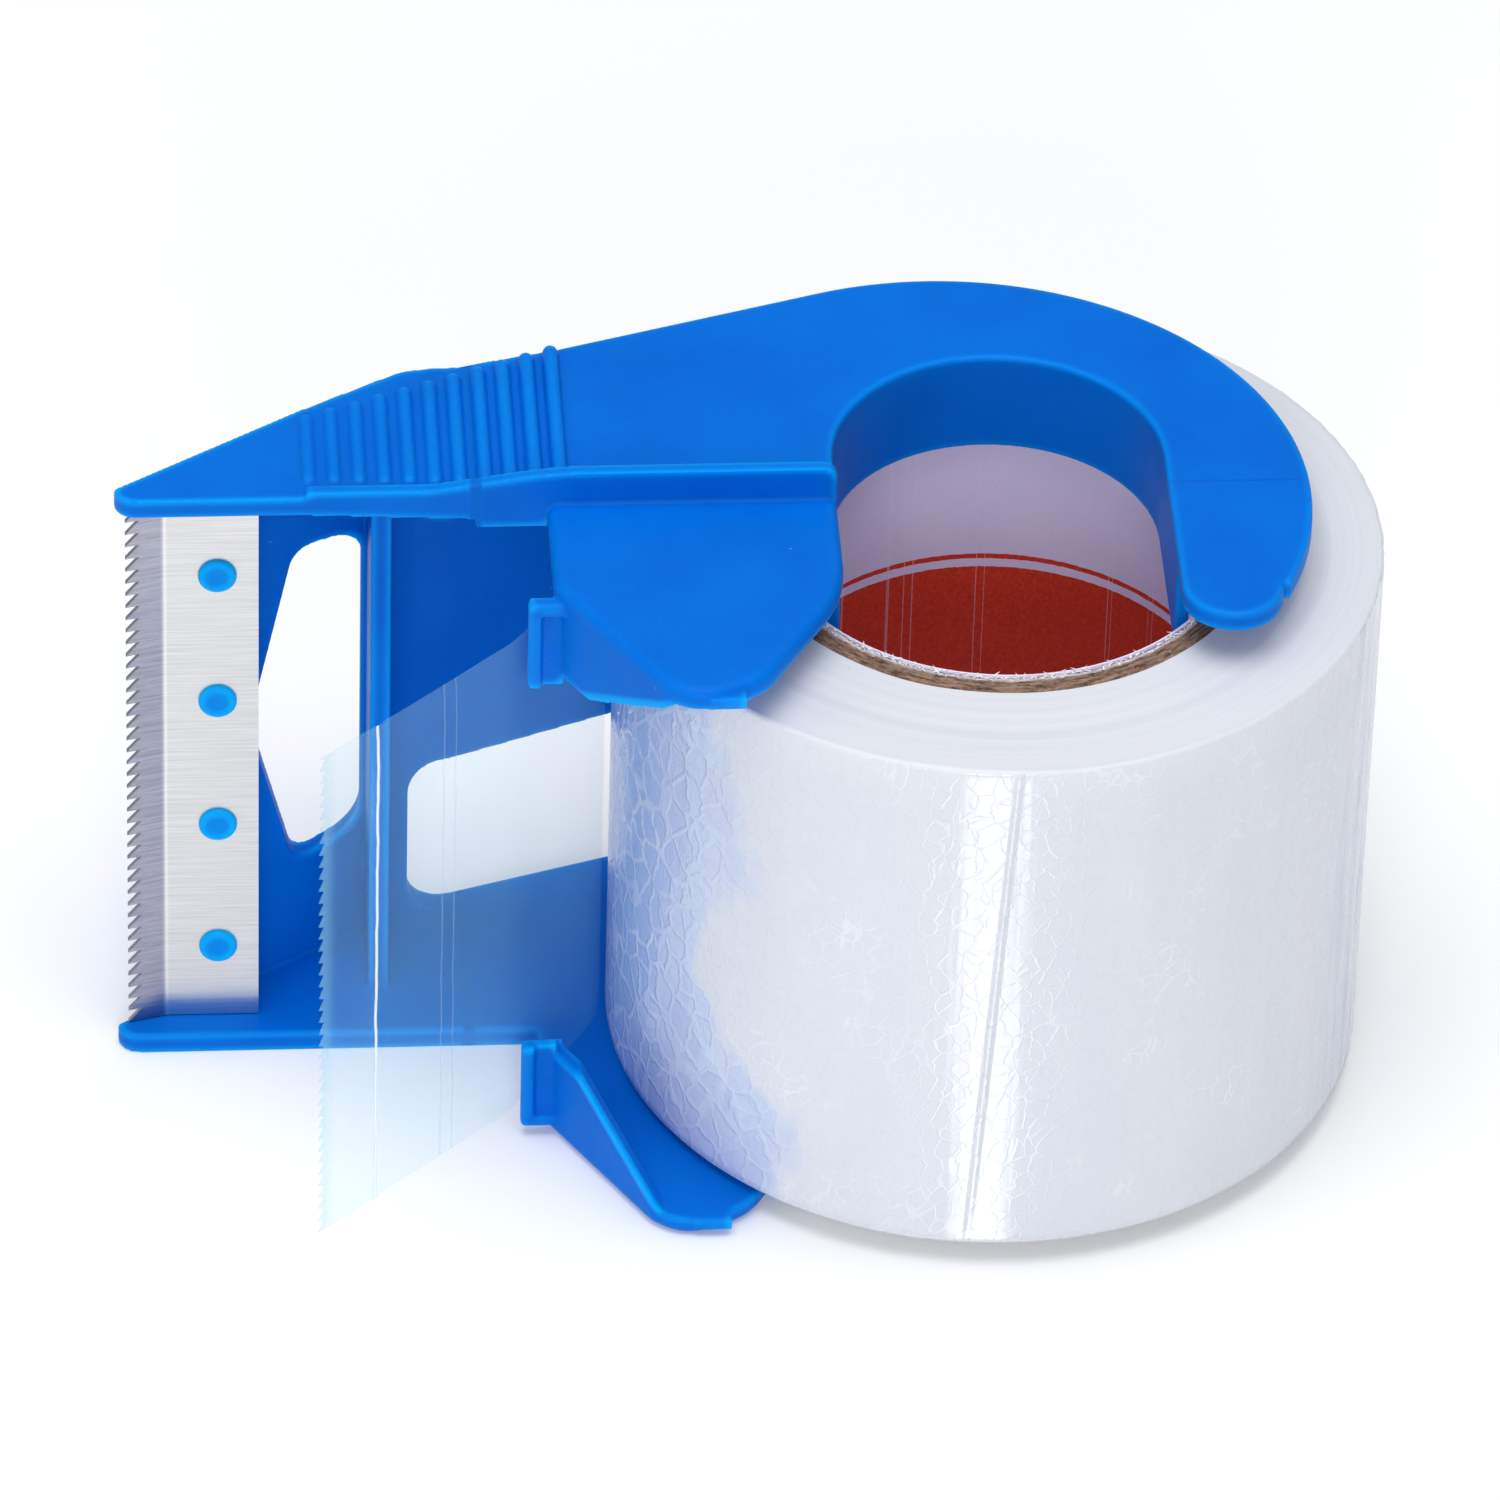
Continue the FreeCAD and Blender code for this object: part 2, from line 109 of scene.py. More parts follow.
def add(tree, kind, inputs=None, **settings):
    """A node with its settings, and its inputs as values or as sockets to link from."""
    made = tree.nodes.new(kind)
    for key, value in settings.items():
        setattr(made, key, value)
    for key, value in (inputs or {}).items():
        if isinstance(value, bpy.types.NodeSocket):
            tree.links.new(value, made.inputs[key])
        else:
            made.inputs[key].default_value = value
    return made


def calc(tree, operation, first, second=0.0, clamp=False):
    """The result of one math operation on values or sockets."""
    made = add(tree, "ShaderNodeMath", {0: first, 1: second}, operation=operation, use_clamp=clamp)
    return made.outputs[0]


def mix_colours(tree, share, first, second):
    """The first colour with a share of the second, all given as values or sockets."""
    made = tree.nodes.new("ShaderNodeMix")
    made.data_type = "RGBA"
    for index, value in ((0, share), (6, first), (7, second)):
        if isinstance(value, bpy.types.NodeSocket):
            tree.links.new(value, made.inputs[index])
        else:
            made.inputs[index].default_value = value
    return made.outputs[2]


def spread(tree, value, low, high):
    """0 at low, 1 at high, smooth between."""
    made = add(tree, "ShaderNodeMapRange", {"Value": value, "From Min": low, "From Max": high},
               interpolation_type="SMOOTHSTEP")
    return made.outputs["Result"]


def tinted(tree, base, mask, strength, colour):
    """The base colour with another over it where the mask is 1, at this strength."""
    return mix_colours(tree, calc(tree, "MULTIPLY", mask, strength), base, colour)


def noise_at(tree, vector, scale, detail=2.0, roughness=0.5):
    """Noise from 0 to 1 at this vector."""
    made = add(tree, "ShaderNodeTexNoise",
               {"Vector": vector, "Scale": scale, "Detail": detail, "Roughness": roughness})
    return made.outputs["Fac"]


def stretched(tree, vector, scale):
    """The vector with each axis scaled, which stretches a texture along the smallest."""
    return add(tree, "ShaderNodeVectorMath", {0: vector, 1: scale}, operation="MULTIPLY").outputs[0]


def bump(tree, height, depth, normal=None):
    """A normal for a relief this deep, in metres, laid over another normal if one is given."""
    inputs = {"Height": height, "Distance": depth, "Strength": 1.0}
    if normal:
        inputs["Normal"] = normal
    return add(tree, "ShaderNodeBump", inputs).outputs[0]


def new_material(name, **constants):
    """A material with its Principled shader, whose constant sockets are given by name."""
    made = bpy.data.materials.new(name)
    made.use_nodes = True
    tree = made.node_tree
    shader = tree.nodes["Principled BSDF"]
    for key, value in constants.items():
        shader.inputs[key.replace("_", " ")].default_value = value
    place = add(tree, "ShaderNodeTexCoord").outputs["Object"]
    return made, tree, shader, place


def from_axis(tree, place):
    """The place measured from the roll's axis: its vector, and its x, y and height."""
    about = add(tree, "ShaderNodeVectorMath", {0: place, 1: tuple(AXIS)}, operation="SUBTRACT").outputs[0]
    parts = add(tree, "ShaderNodeSeparateXYZ", {0: about}).outputs
    return about, parts[0], parts[1], parts[2]


def distance_from_axis(tree, about):
    """How far a place lies from the roll's axis, in plan."""
    flat = stretched(tree, about, (1, 1, 0))
    return add(tree, "ShaderNodeVectorMath", {0: flat}, operation="LENGTH").outputs["Value"]


def line_of(tree, value):
    """The value as a vector along x, for a texture that varies with it alone."""
    return add(tree, "ShaderNodeCombineXYZ", {0: value, 1: 0.0, 2: 0.0}).outputs[0]


def rgb(red, green, blue):
    """A linear colour from 0-255 screen values."""
    def linear(value):
        value /= 255
        return value / 12.92 if value <= 0.04045 else ((value + 0.055) / 1.055) ** 2.4
    return linear(red), linear(green), linear(blue), 1.0


# ---------------------------------------------------------------- materials

def openness(tree, distance, inside):
    """1 where no skin is within this distance, and less where some is; looks out of or into the plastic."""
    made = add(tree, "ShaderNodeAmbientOcclusion", {"Distance": distance}, samples=EDGE_RAYS, inside=inside,
               only_local=True)
    return made.outputs["AO"]


def blue_plastic(name, colour, deep):
    """Moulded polypropylene with a painted highlight along its thin edges and painted shade in its crevices,
    a few pale specks and a faint satin grain.
    """
    made, tree, shader, place = new_material(name, Roughness=0.42, IOR=1.45)
    shader.inputs["Specular IOR Level"].default_value = 0.07
    shader.inputs["Subsurface Weight"].default_value = 0.4
    shader.inputs["Subsurface Radius"].default_value = (0.0, 0.5, 1.0)
    shader.inputs["Subsurface Scale"].default_value = 1.2 * MM
    clouds = noise_at(tree, place, 90, 3.0)
    base = mix_colours(tree, spread(tree, clouds, 0.3, 0.75), colour, deep)
    specks = add(tree, "ShaderNodeTexVoronoi", {"Vector": place, "Scale": 260.0}).outputs["Distance"]
    fleck = calc(tree, "LESS_THAN", specks, 0.022)
    base = tinted(tree, base, fleck, 0.5, rgb(120, 200, 255))
    parts = add(tree, "ShaderNodeSeparateXYZ", {0: place})
    from_seam = calc(tree, "ABSOLUTE", calc(tree, "SUBTRACT", parts.outputs[0], FLEX_X))
    # the arms' hidden ends at the bending line aren't edges, so they get no painted edge highlight
    thin = spread(tree, openness(tree, 0.8 * MM, True), 0.93, 0.5)
    thin = calc(tree, "MULTIPLY", thin, spread(tree, from_seam, 0.3 * MM, 0.8 * MM))
    # painted shade: a darker blue where other skin is near, in crevices and inner corners
    corner = spread(tree, openness(tree, 1.0 * MM, False), 0.85, 0.35)
    base = tinted(tree, base, corner, 0.3, rgb(0, 66, 184))
    # painted highlight: thin convex edges and rib tops are painted a paler cyan blue
    base = tinted(tree, base, thin, 0.8, rgb(0, 174, 254))
    tree.links.new(base, shader.inputs["Base Color"])
    grain = noise_at(tree, place, 2600, 3.0, 0.6)
    waves = noise_at(tree, place, 160, 2.0)
    rough = calc(tree, "ADD", calc(tree, "MULTIPLY", waves, 0.12), 0.36)
    tree.links.new(rough, shader.inputs["Roughness"])
    # a faint mould line crosses the hooks
    hook = spread(tree, parts.outputs[0], AXIS.x + 8 * MM, AXIS.x + 10 * MM)
    step = spread(tree, parts.outputs[1], AXIS.y + 0.12 * MM, AXIS.y - 0.12 * MM)
    mould_line = bump(tree, calc(tree, "MULTIPLY", hook, step), 0.07 * MM)
    low = bump(tree, waves, 0.12 * MM, mould_line)
    tree.links.new(bump(tree, grain, 0.012 * MM, low), shader.inputs["Normal"])
    return made


def brushed_steel():
    """Bright strip steel, brushed along its width, with a darker lilac band by the teeth that is partly their
    grinding and partly a painted reflection of the bent strip, and a painted highlight along the bend.
    """
    made, tree, shader, place = new_material("blade_steel_brushed", Metallic=1.0, Roughness=0.34)
    shader.inputs["Anisotropic"].default_value = 0.55
    x = add(tree, "ShaderNodeSeparateXYZ", {0: place}).outputs[0]
    lines = noise_at(tree, stretched(tree, place, (90, 900, 5200)), 1.0, 4.0, 0.7)
    soft = noise_at(tree, stretched(tree, place, (40, 40, 900)), 1.0, 2.0)
    bright = mix_colours(tree, spread(tree, lines, 0.32, 0.7), rgb(208, 206, 204), rgb(229, 228, 227))
    bright = tinted(tree, bright, soft, 0.25, rgb(202, 201, 201))
    # the darker lilac band by the teeth is partly their grinding and partly a painted reflection of the bent
    # strip
    grinding_and_painted_reflection = mix_colours(tree, spread(tree, lines, 0.3, 0.7), rgb(150, 148, 162), rgb(178, 176, 188))
    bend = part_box("cutter_blade")[0].x + TEETH_BAND
    base = mix_colours(tree, spread(tree, x, bend - 0.35 * MM, bend + 0.1 * MM), grinding_and_painted_reflection, bright)
    # painted highlight: a pale line along the bend of the toothed strip
    painted_bend_highlight = calc(tree, "MULTIPLY", spread(tree, x, bend - 0.1 * MM, bend),
                 spread(tree, x, bend + 0.28 * MM, bend + 0.1 * MM))
    base = tinted(tree, base, painted_bend_highlight, 0.35, (1, 1, 1, 1))
    tree.links.new(base, shader.inputs["Base Color"])
    tree.links.new(calc(tree, "ADD", calc(tree, "MULTIPLY", lines, 0.16), 0.27), shader.inputs["Roughness"])
    tree.links.new(bump(tree, lines, 0.006 * MM), shader.inputs["Normal"])
    return made


def unrolled_places(tree, arc, height):
    """Arc length round the roll and height as a vector, plain and shifted about by noise."""
    plain = add(tree, "ShaderNodeCombineXYZ", {0: arc, 1: height, 2: 0.0}).outputs[0]
    shift = calc(tree, "MULTIPLY", noise_at(tree, plain, 420, 3.0), 2.2 * MM)
    bent = add(tree, "ShaderNodeCombineXYZ", {0: calc(tree, "ADD", arc, shift),
                                              1: calc(tree, "ADD", height, shift), 2: 0.0}).outputs[0]
    return plain, bent


def cell_walls(tree, bent, scale, thickness):
    """1 on the thin walls between cells that are taller than wide."""
    cells = add(tree, "ShaderNodeTexVoronoi", {"Vector": stretched(tree, bent, (1.0, 0.72, 1.0)),
                                               "Scale": scale}, feature="DISTANCE_TO_EDGE")
    return spread(tree, cells.outputs["Distance"], thickness, thickness * 0.2)


def trapped_air(tree, unrolled, angle, height):
    """1 where air is trapped: where the film leaves the roll, and furthest round near the bottom."""
    patches = noise_at(tree, stretched(tree, unrolled, (1.0, 0.5, 1.0)), 95, 3.0, 0.55)
    low_down = spread(tree, height, BOTTOM + 22 * MM, BOTTOM + 8 * MM)
    reach = calc(tree, "ADD", calc(tree, "MULTIPLY", patches, 0.9), calc(tree, "MULTIPLY", low_down, 0.24))
    airy = spread(tree, calc(tree, "SUBTRACT", angle, reach), -1.30, -1.42)
    return calc(tree, "MULTIPLY", airy, spread(tree, calc(tree, "ADD", angle, patches), -1.75, -1.3))


def pale_film(tree, haze, angle, height):
    """The film's colour: painted shade, greyer round the right-hand side, and paler near its upper edge."""
    pale = mix_colours(tree, haze, rgb(207, 211, 220), rgb(223, 224, 230))
    # painted shade: the side turning away to the right is painted greyer
    right = calc(tree, "MULTIPLY", spread(tree, angle, 0.9, 1.4), spread(tree, angle, 2.6, 1.9))
    pale = tinted(tree, pale, right, 0.5, rgb(196, 203, 220))
    return tinted(tree, pale, spread(tree, height, TOP - 5 * MM, TOP), 0.6, rgb(222, 224, 228))


def air_cells_with_painted_blue(tree, angle, wall, knots):
    """Trapped air cells with pale walls of varied strength, their insides painted bluish for the blue
    moulding seen through the film, bluer further back.
    """
    deep = spread(tree, angle, -0.9, -1.35)
    # painted light: the blue of the moulding seen through the film, stronger further back
    inside = mix_colours(tree, deep, rgb(194, 204, 232), rgb(150, 180, 230))
    clear = calc(tree, "ADD", calc(tree, "MULTIPLY", knots, 0.5), 0.35)
    return mix_colours(tree, calc(tree, "MULTIPLY", wall, clear), inside, rgb(206, 217, 238))


def loose_folds(tree, unrolled, angle):
    """1 on the upright folds at the right-hand side."""
    folds = noise_at(tree, stretched(tree, unrolled, (1.0, 0.08, 1.0)), 700, 3.0, 0.6)
    folded = calc(tree, "MULTIPLY", spread(tree, angle, 0.95, 1.25), spread(tree, folds, 0.48, 0.6))
    return calc(tree, "MULTIPLY", folded, spread(tree, angle, 2.1, 1.7))


def film_creases(tree, unrolled, arc, height):
    """A normal for faint upright creases and one long fold down the front, which leans a little."""
    crease = noise_at(tree, stretched(tree, unrolled, (1.0, 0.05, 1.0)), 300, 3.0, 0.6)
    leaning = calc(tree, "ADD", arc, calc(tree, "MULTIPLY", height, -0.055))
    off_fold = calc(tree, "ABSOLUTE", calc(tree, "ADD", leaning, 3.6 * MM))
    soft = bump(tree, crease, 0.11 * MM)
    return bump(tree, spread(tree, off_fold, 0.5 * MM, 0.0), 0.12 * MM, soft)


def film_side():
    """The film's outside: pale and glossy, with trapped air cells whose insides are painted bluish for the
    blue moulding seen through them, painted shade on the folds at the right, and soft streaks.
    """
    made, tree, shader, place = new_material("film_wound_side", IOR=1.5)
    shader.inputs["Specular IOR Level"].default_value = 0.6
    _, x, y, height = from_axis(tree, place)
    # 0 at the front, growing to the right
    angle = calc(tree, "ARCTAN2", x, calc(tree, "MULTIPLY", y, -1.0))
    arc = calc(tree, "MULTIPLY", angle, ROLL_R)
    unrolled, bent = unrolled_places(tree, arc, height)
    wall = cell_walls(tree, bent, 430.0, 0.11)
    tangle = cell_walls(tree, bent, 760.0, 0.07)
    airy = trapped_air(tree, unrolled, angle, height)
    knots = spread(tree, noise_at(tree, unrolled, 110, 3.0), 0.46, 0.68)
    haze = noise_at(tree, stretched(tree, unrolled, (1.0, 0.16, 1.0)), 120, 4.0, 0.6)
    base = pale_film(tree, haze, angle, height)
    base = tinted(tree, base, calc(tree, "MULTIPLY", tangle, knots), 0.42, rgb(238, 240, 246))
    base = tinted(tree, base, airy, 0.9, air_cells_with_painted_blue(tree, angle, wall, knots))
    # painted shade: the folds at the right-hand side are painted a darker lilac grey
    base = tinted(tree, base, loose_folds(tree, unrolled, angle), 0.5, rgb(170, 176, 206))
    tree.links.new(base, shader.inputs["Base Color"])
    rough = calc(tree, "ADD", calc(tree, "MULTIPLY", haze, 0.12), 0.1)
    tree.links.new(rough, shader.inputs["Roughness"])
    raised = calc(tree, "ADD", calc(tree, "MULTIPLY", wall, airy), calc(tree, "MULTIPLY", tangle, 0.3))
    creases = film_creases(tree, unrolled, arc, height)
    tree.links.new(bump(tree, raised, 0.05 * MM, creases), shader.inputs["Normal"])
    return made


def film_edge():
    """The roll's flat ends: hundreds of film edges packed side by side."""
    made, tree, shader, place = new_material("film_wound_edge", IOR=1.48, Roughness=0.42)
    shader.inputs["Specular IOR Level"].default_value = 0.35
    along = line_of(tree, distance_from_axis(tree, from_axis(tree, place)[0]))
    rings = noise_at(tree, along, 5200, 3.0, 0.75)
    broad = noise_at(tree, along, 420, 2.0)
    clouds = noise_at(tree, place, 110, 3.0)
    base = mix_colours(tree, spread(tree, rings, 0.25, 0.75), rgb(210, 212, 217), rgb(225, 226, 230))
    base = tinted(tree, base, spread(tree, broad, 0.45, 0.7), 0.35, rgb(200, 205, 212))
    base = tinted(tree, base, clouds, 0.3, rgb(228, 230, 235))
    dust = add(tree, "ShaderNodeTexVoronoi", {"Vector": place, "Scale": 330.0}).outputs["Distance"]
    speck = calc(tree, "MULTIPLY", calc(tree, "LESS_THAN", dust, 0.045), spread(tree, clouds, 0.5, 0.62))
    base = tinted(tree, base, speck, 0.55, rgb(120, 116, 112))
    tree.links.new(base, shader.inputs["Base Color"])
    tree.links.new(bump(tree, rings, 0.02 * MM), shader.inputs["Normal"])
    return made


def core_board():
    """Spiral-wound grey-brown board, seen end on as thin plies."""
    made, tree, shader, place = new_material("core_board_plies", Roughness=0.9)
    shader.inputs["Specular IOR Level"].default_value = 0.15
    about, x, y, _ = from_axis(tree, place)
    radius = distance_from_axis(tree, about)
    angle = calc(tree, "ARCTAN2", y, x)
    plies = add(tree, "ShaderNodeCombineXYZ", {0: calc(tree, "MULTIPLY", radius, 3000.0),
                                               1: calc(tree, "MULTIPLY", angle, 9.0), 2: 0.0}).outputs[0]
    layers = noise_at(tree, plies, 1.0, 5.0, 0.7)
    crumbs = noise_at(tree, place, 1900, 4.0, 0.7)
    base = mix_colours(tree, spread(tree, layers, 0.36, 0.62), rgb(80, 58, 46), rgb(158, 130, 110))
    base = tinted(tree, base, spread(tree, crumbs, 0.5, 0.75), 0.4, rgb(190, 172, 156))
    paper = spread(tree, radius, BORE_R + 0.75 * MM, BORE_R + 0.3 * MM)
    base = tinted(tree, base, paper, 0.8, rgb(226, 220, 222))
    tree.links.new(base, shader.inputs["Base Color"])
    fuzz = calc(tree, "ADD", layers, calc(tree, "MULTIPLY", crumbs, 0.5))
    tree.links.new(bump(tree, fuzz, 0.16 * MM), shader.inputs["Normal"])
    return made


# The printed band's height in the bore, half its width, and the thin line beside it
PRINT_MIDDLE = 28.0 * MM
PRINT_HALF = 6.4 * MM
PRINT_GAP = 1.1 * MM
PRINT_LINE = 0.5 * MM


def liner_paper():
    """The core's white paper liner, with a plain printed red band between two thin lines."""
    made, tree, shader, place = new_material("liner_paper_printed", Roughness=0.62)
    shader.inputs["Specular IOR Level"].default_value = 0.3
    _, x, y, up = from_axis(tree, place)
    ragged = calc(tree, "MULTIPLY", calc(tree, "SUBTRACT", noise_at(tree, place, 1800, 2.0), 0.5), 0.16 * MM)
    height = calc(tree, "ADD", up, ragged)

    def band(low, high):
        soft = 0.06 * MM
        above = spread(tree, height, low, low + soft)
        return calc(tree, "MULTIPLY", above, spread(tree, height, high + soft, high))

    tone = noise_at(tree, place, 150, 3.0)
    grain = noise_at(tree, place, 3000, 3.0, 0.7)
    paper = mix_colours(tree, tone, rgb(224, 216, 246), rgb(238, 233, 252))
    paper = tinted(tree, paper, spread(tree, grain, 0.6, 0.8), 0.35, rgb(176, 166, 190))
    red = mix_colours(tree, spread(tree, grain, 0.3, 0.75), rgb(206, 48, 20), rgb(236, 70, 34))
    printed = band(PRINT_MIDDLE - PRINT_HALF, PRINT_MIDDLE + PRINT_HALF)
    for side in (-1, 1):
        at = PRINT_MIDDLE + side * (PRINT_HALF + PRINT_GAP)
        printed = calc(tree, "MAXIMUM", printed, band(at - PRINT_LINE / 2, at + PRINT_LINE / 2))
    base = mix_colours(tree, printed, paper, red)
    seams = noise_at(tree, line_of(tree, calc(tree, "ARCTAN2", y, x)), 12, 1.0)
    line = calc(tree, "MULTIPLY", spread(tree, seams, 0.60, 0.62), spread(tree, seams, 0.64, 0.62))
    base = tinted(tree, base, line, 0.35, rgb(244, 240, 250))
    tree.links.new(base, shader.inputs["Base Color"])
    tree.links.new(bump(tree, grain, 0.01 * MM), shader.inputs["Normal"])
    return made


def fibre_paper():
    """White torn paper."""
    made, tree, shader, place = new_material("torn_paper_fibres", Roughness=0.9)
    tone = noise_at(tree, place, 900, 2.0)
    base = mix_colours(tree, tone, rgb(232, 226, 228), rgb(250, 248, 250))
    tree.links.new(base, shader.inputs["Base Color"])
    return made


# The free end's cut edge, its crease, and two fine lines beyond the crease
CUT_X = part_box("tape_leader")[0].x
CREASE_X = CUT_X + 4.9 * MM
FINE_LINES = (5.6 * MM, 6.6 * MM)


def clear_film():
    """Thin film: mostly see-through, with a pale veil, a white crease, two fine lines and a pale cut edge."""
    made, tree, shader, place = new_material("clear_film_veil", IOR=1.5, Roughness=0.12)
    shader.inputs["Specular IOR Level"].default_value = 0.25
    parts = add(tree, "ShaderNodeSeparateXYZ", {0: place}).outputs
    x, height = parts[0], parts[2]
    clouds = noise_at(tree, place, 70, 3.0)
    grain = noise_at(tree, place, 1300, 3.0, 0.7)
    drift = noise_at(tree, stretched(tree, place, (0, 0, 1)), 160, 3.0)
    wander = calc(tree, "MULTIPLY", calc(tree, "SUBTRACT", drift, 0.5), 0.5 * MM)
    across = calc(tree, "ADD", x, wander)

    def line(at, half):
        gap = calc(tree, "ABSOLUTE", calc(tree, "SUBTRACT", across, at))
        return spread(tree, gap, half, half * 0.3)

    crease = line(CREASE_X, 0.17 * MM)
    first, second = CREASE_X + FINE_LINES[0], CREASE_X + FINE_LINES[1]
    fine = calc(tree, "MAXIMUM", line(first, 0.07 * MM), line(second, 0.06 * MM))
    cut_edge = spread(tree, x, CUT_X + 1.6 * MM, CUT_X + 0.3 * MM)
    veil = 0.066
    grains = spread(tree, grain, 0.62, 0.8)
    for mask, share in ((clouds, 0.05), (grains, 0.04), (crease, 0.62), (cut_edge, 0.12), (fine, 0.16)):
        veil = calc(tree, "ADD", calc(tree, "MULTIPLY", mask, share), veil, clamp=True)
    tree.links.new(veil, shader.inputs["Alpha"])
    tint = mix_colours(tree, spread(tree, height, BOTTOM, TOP), rgb(158, 234, 247), rgb(166, 232, 247))
    tint = mix_colours(tree, crease, tint, rgb(250, 252, 255))
    tint = tinted(tree, tint, fine, 0.6, rgb(190, 200, 222))
    tree.links.new(tint, shader.inputs["Base Color"])
    tree.links.new(bump(tree, clouds, 0.2 * MM), shader.inputs["Normal"])
    return made


# ---------------------------------------------------------------- mesh helpers

def new_object(name, mesh, *materials):
    """A scene object for this mesh, with its materials."""
    made = bpy.data.objects.new(name, mesh)
    bpy.context.scene.collection.objects.link(made)
    for one in materials:
        mesh.materials.append(one)
    return made


def smooth(mesh, angle=32):
    """Shade smooth, except over edges sharper than this angle in degrees."""
    mesh.polygons.foreach_set("use_smooth", [True] * len(mesh.polygons))
    mesh.set_sharp_from_angle(angle=math.radians(angle))
    mesh.update()


def grid_mesh(name, rows, closed_rows=False, closed_columns=False):
    """A mesh from a list of rows of points, joined into quads."""
    count, width = len(rows), len(rows[0])
    faces = []
    for i in range(count if closed_rows else count - 1):
        for j in range(width if closed_columns else width - 1):
            a, b = i * width + j, i * width + (j + 1) % width
            c, d = (i + 1) % count * width + (j + 1) % width, (i + 1) % count * width + j
            faces.append((a, b, c, d))
    mesh = bpy.data.meshes.new(name)
    mesh.from_pydata([p for row in rows for p in row], [], faces)
    mesh.update()
    return mesh


def around(radius, angle, height):
    """A point round the roll's axis."""
    return Vector((AXIS.x + radius * math.cos(angle), AXIS.y + radius * math.sin(angle), height))


# ---------------------------------------------------------------- the blue moulding

# The skin is rebuilt in cells of this size, relaxed this often, and keeps this share of its faces
VOXEL = 0.16 * MM
SOFTENING = 3
KEPT_FACES = 0.16
WELD = 0.002 * MM
NOT_MOULDED = {"blade_posts", "cutter_blade", "tape_leader"}
# An arm's faces lie this far from the middle height or more, and the spine's nearer
ARM_CLEAR = 12 * MM


def joined(nodes):
    """One closed mesh that is the union of these CAD nodes."""
    copies = []
    for node in nodes:
        shell = bmesh.new()
        shell.from_mesh(frame["nodes"][node].data)
        bmesh.ops.remove_doubles(shell, verts=shell.verts, dist=WELD)
        mesh = bpy.data.meshes.new("part")
        shell.to_mesh(mesh)
        shell.free()
        copies.append(new_object("part_" + node, mesh))
    others = bpy.data.collections.new("others")
    for one in copies[1:]:
        others.objects.link(one)
    union = copies[0].modifiers.new("union", "BOOLEAN")
    union.operand_type = "COLLECTION"
    union.collection = others
    union.operation = "UNION"
    union.solver = "EXACT"
    graph = bpy.context.evaluated_depsgraph_get()
    result = bpy.data.meshes.new_from_object(copies[0].evaluated_get(graph))
    for one in copies:
        bpy.data.objects.remove(one)
    bpy.data.collections.remove(others)
    return result


def soften_edges(mesh):
    """Rebuild the skin as fine even cells, relax it so that every edge is rounded, and thin it out."""
    skin = new_object("skin", mesh)
    cells = skin.modifiers.new("cells", "REMESH")
    cells.mode = "VOXEL"
    cells.voxel_size = VOXEL
    relax = skin.modifiers.new("relax", "SMOOTH")
    relax.factor = 0.5
    relax.iterations = SOFTENING
    thin = skin.modifiers.new("thin", "DECIMATE")
    thin.ratio = KEPT_FACES
    graph = bpy.context.evaluated_depsgraph_get()
    result = bpy.data.meshes.new_from_object(skin.evaluated_get(graph))
    bpy.data.objects.remove(skin)
    return result


def islands(shell):
    """The connected groups of faces."""
    left, found = set(shell.faces), []
    while left:
        group, waiting = set(), [left.pop()]
        while waiting:
            face = waiting.pop()
            group.add(face)
            for edge in face.edges:
                for other in edge.link_faces:
                    if other in left:
                        left.remove(other)
                        waiting.append(other)
        found.append(group)
    return found


def body_of(group, middle):
    """The body that a connected group of faces belongs to, by where it lies."""
    heights = [v.co.z for face in group for v in face.verts]
    beyond_bend = min(v.co.x for face in group for v in face.verts) > FLEX_X - 0.01 * MM
    if beyond_bend and min(heights) > middle + ARM_CLEAR:
        return "upper_arm"
    if beyond_bend and max(heights) < middle - ARM_CLEAR:
        return "lower_arm"
    return "frame"


def moulded_piece(shell, faces, body, blue, plastic):
    """The part of the skin that belongs to one body, closed where it was parted."""
    keep = {face.index for face in faces}
    part = shell.copy()
    part.faces.ensure_lookup_table()
    bmesh.ops.delete(part, geom=[f for f in part.faces if f.index not in keep], context="FACES")
    bmesh.ops.remove_doubles(part, verts=part.verts, dist=WELD)
    bmesh.ops.triangle_fill(part, use_beauty=True, edges=[e for e in part.edges if e.is_boundary])
    mesh = bpy.data.meshes.new("moulded_" + body)
    part.to_mesh(mesh)
    part.free()
    smooth(mesh, 60)
    piece = new_object("moulded_" + body, mesh, plastic)
    even = piece.modifiers.new("even", "WEIGHTED_NORMAL")
    even.keep_sharp = True
    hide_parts(*[n for n in BODIES[body] if n in blue])
    return piece


def moulding(plastic):
    """The one-piece blue body, parted where its two arms bend."""
    blue = [n for body in ("frame", "upper_arm", "lower_arm") for n in BODIES[body] if n not in NOT_MOULDED]
    shell = bmesh.new()
    shell.from_mesh(soften_edges(joined(blue)))
    cut = bmesh.ops.bisect_plane(shell, geom=shell.verts[:] + shell.edges[:] + shell.faces[:], dist=1e-7,
                                 plane_co=(FLEX_X, 0, 0), plane_no=(1, 0, 0))
    seam = [e for e in cut["geom_cut"] if isinstance(e, bmesh.types.BMEdge)]
    bmesh.ops.split_edges(shell, edges=seam)
    middle = (cad_low.z + cad_high.z) / 2
    owned = {}
    for group in islands(shell):
        owned.setdefault(body_of(group, middle), set()).update(group)
    shell.faces.ensure_lookup_table()
    # in a fixed order, because the islands come in any order
    made = {body: moulded_piece(shell, owned[body], body, blue, plastic)
            for body in ("upper_arm", "lower_arm", "frame")}
    shell.free()
    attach(made["frame"], "frame")
    for body in ("upper_arm", "lower_arm"):
        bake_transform(made[body])


# ---------------------------------------------------------------- tape

